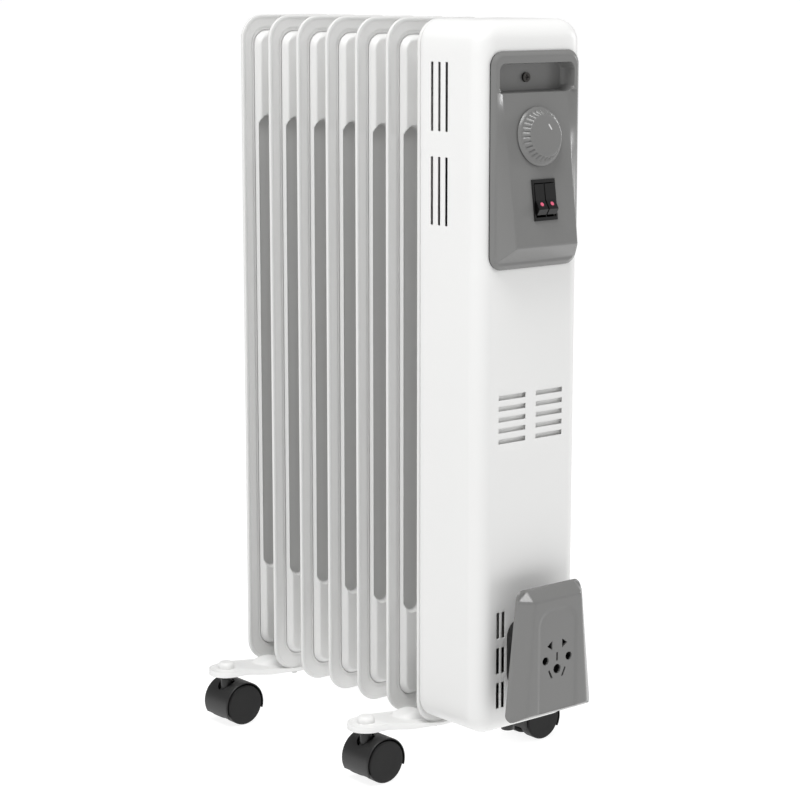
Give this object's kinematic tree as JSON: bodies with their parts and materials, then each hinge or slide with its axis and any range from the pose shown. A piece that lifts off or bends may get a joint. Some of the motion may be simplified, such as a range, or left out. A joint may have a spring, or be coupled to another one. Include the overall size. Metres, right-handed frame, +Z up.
{
  "type": "oil filled radiator heater",
  "caption": "Free-standing oil filled radiator: steel fins on two oil headers, a control cover with a thermostat knob and rocker switches, a cord store, and swivel casters.",
  "frame": {"origin": "on the floor, under the middle of the heater's overall box", "axes": "+Z up, the control face looks along -Y, the fins follow each other along +Y, +X is to the right seen from the controls"},
  "size_m": [0.224, 0.362, 0.622],
  "materials": {
    "fin_paint": "satin powder coat",
    "cover_paint": "satin powder coat",
    "foot_paint": "satin powder coat",
    "grey_plastic": "fine moulded texture",
    "white_mark": "printed",
    "switch_black": "semi-gloss",
    "lamp_red": "clear tinted",
    "black_plastic": "fine moulded texture",
    "wheel_plastic": "fine moulded texture",
    "zinc_steel": "zinc plated",
    "element_steel": "dull",
    "flange_brass": "turned",
    "inner_plastic": "plain",
    "wire_sleeve": "woven sleeve"
  },
  "bodies": {
    "heater": {"fin_1": "fin_paint", "fin_2": "fin_paint", "fin_3": "fin_paint", "fin_4": "fin_paint", "fin_5": "fin_paint", "fin_6": "fin_paint", "fin_7": "fin_paint", "header_top": "fin_paint", "header_bottom": "fin_paint", "filler_plug": "zinc_steel", "cap_top_front": "zinc_steel", "cap_bottom_rear": "zinc_steel", "heating_element": "element_steel", "element_flange": "flange_brass", "heat_shield": "zinc_steel", "front_cover": "cover_paint", "fascia": "grey_plastic", "handle_screw": "element_steel", "thermostat_body": "inner_plastic", "switch_housing": "switch_black", "thermal_cutout": "inner_plastic", "tilt_switch": "inner_plastic", "terminal_block": "inner_plastic", "wire_harness": "wire_sleeve", "cord_gland": "black_plastic", "cord_store_hub": "black_plastic", "cord_store_shell": "grey_plastic", "cord_store_screw_upper": "zinc_steel", "cord_store_screw_lower": "zinc_steel", "foot_front": "foot_paint", "foot_rear": "foot_paint", "u_bolt_front": "zinc_steel", "u_bolt_rear": "zinc_steel", "wing_nut_front_left": "zinc_steel", "wing_nut_front_right": "zinc_steel", "wing_nut_rear_left": "zinc_steel", "wing_nut_rear_right": "zinc_steel", "stem_front_left": "foot_paint", "stem_front_right": "foot_paint", "stem_rear_left": "foot_paint", "stem_rear_right": "foot_paint"},
    "knob": {"knob": "grey_plastic", "knob_mark": "white_mark", "thermostat_shaft": "zinc_steel"},
    "rocker_left": {"rocker_left": "switch_black", "lamp_left": "lamp_red"},
    "rocker_right": {"rocker_right": "switch_black", "lamp_right": "lamp_red"},
    "swivel_front_left": {"hood_front_left": "black_plastic"},
    "wheel_front_left_a": {"wheel_front_left_a": "wheel_plastic"},
    "wheel_front_left_b": {"wheel_front_left_b": "wheel_plastic"},
    "swivel_front_right": {"hood_front_right": "black_plastic"},
    "wheel_front_right_a": {"wheel_front_right_a": "wheel_plastic"},
    "wheel_front_right_b": {"wheel_front_right_b": "wheel_plastic"},
    "swivel_rear_left": {"hood_rear_left": "black_plastic"},
    "wheel_rear_left_a": {"wheel_rear_left_a": "wheel_plastic"},
    "wheel_rear_left_b": {"wheel_rear_left_b": "wheel_plastic"},
    "swivel_rear_right": {"hood_rear_right": "black_plastic"},
    "wheel_rear_right_a": {"wheel_rear_right_a": "wheel_plastic"},
    "wheel_rear_right_b": {"wheel_rear_right_b": "wheel_plastic"}
  },
  "joints": [
    {"name": "thermostat_knob", "type": "hinge", "parent": "heater", "child": "knob", "pos_m": [0, -0.15201, 0.5315], "axis": [0, -0.9908, 0.1352], "range_deg": [-115, 185]},
    {"name": "rocker_left_tip", "type": "hinge", "parent": "heater", "child": "rocker_left", "pos_m": [0, -0.15374, 0.48182], "axis": [1, 0, 0], "range_deg": [0, 14]},
    {"name": "rocker_right_tip", "type": "hinge", "parent": "heater", "child": "rocker_right", "pos_m": [0, -0.15374, 0.48182], "axis": [1, 0, 0], "range_deg": [0, 14]},
    {"name": "swivel_front_left", "type": "hinge", "parent": "heater", "child": "swivel_front_left", "pos_m": [-0.0965, -0.05425, 0.041], "axis": [0, 0, 1], "continuous": true},
    {"name": "roll_front_left_a", "type": "hinge", "parent": "swivel_front_left", "child": "wheel_front_left_a", "pos_m": [-0.0885, -0.05425, 0.018], "axis": [0, 1, 0], "continuous": true},
    {"name": "roll_front_left_b", "type": "hinge", "parent": "swivel_front_left", "child": "wheel_front_left_b", "pos_m": [-0.0885, -0.05425, 0.018], "axis": [0, 1, 0], "continuous": true},
    {"name": "swivel_front_right", "type": "hinge", "parent": "heater", "child": "swivel_front_right", "pos_m": [0.0965, -0.05425, 0.041], "axis": [0, 0, 1], "continuous": true},
    {"name": "roll_front_right_a", "type": "hinge", "parent": "swivel_front_right", "child": "wheel_front_right_a", "pos_m": [0.0885, -0.05425, 0.018], "axis": [0, 1, 0], "continuous": true},
    {"name": "roll_front_right_b", "type": "hinge", "parent": "swivel_front_right", "child": "wheel_front_right_b", "pos_m": [0.0885, -0.05425, 0.018], "axis": [0, 1, 0], "continuous": true},
    {"name": "swivel_rear_left", "type": "hinge", "parent": "heater", "child": "swivel_rear_left", "pos_m": [-0.0965, 0.14325, 0.041], "axis": [0, 0, 1], "continuous": true},
    {"name": "roll_rear_left_a", "type": "hinge", "parent": "swivel_rear_left", "child": "wheel_rear_left_a", "pos_m": [-0.0885, 0.14325, 0.018], "axis": [0, 1, 0], "continuous": true},
    {"name": "roll_rear_left_b", "type": "hinge", "parent": "swivel_rear_left", "child": "wheel_rear_left_b", "pos_m": [-0.0885, 0.14325, 0.018], "axis": [0, 1, 0], "continuous": true},
    {"name": "swivel_rear_right", "type": "hinge", "parent": "heater", "child": "swivel_rear_right", "pos_m": [0.0965, 0.14325, 0.041], "axis": [0, 0, 1], "continuous": true},
    {"name": "roll_rear_right_a", "type": "hinge", "parent": "swivel_rear_right", "child": "wheel_rear_right_a", "pos_m": [0.0885, 0.14325, 0.018], "axis": [0, 1, 0], "continuous": true},
    {"name": "roll_rear_right_b", "type": "hinge", "parent": "swivel_rear_right", "child": "wheel_rear_right_b", "pos_m": [0.0885, 0.14325, 0.018], "axis": [0, 1, 0], "continuous": true}
  ]
}
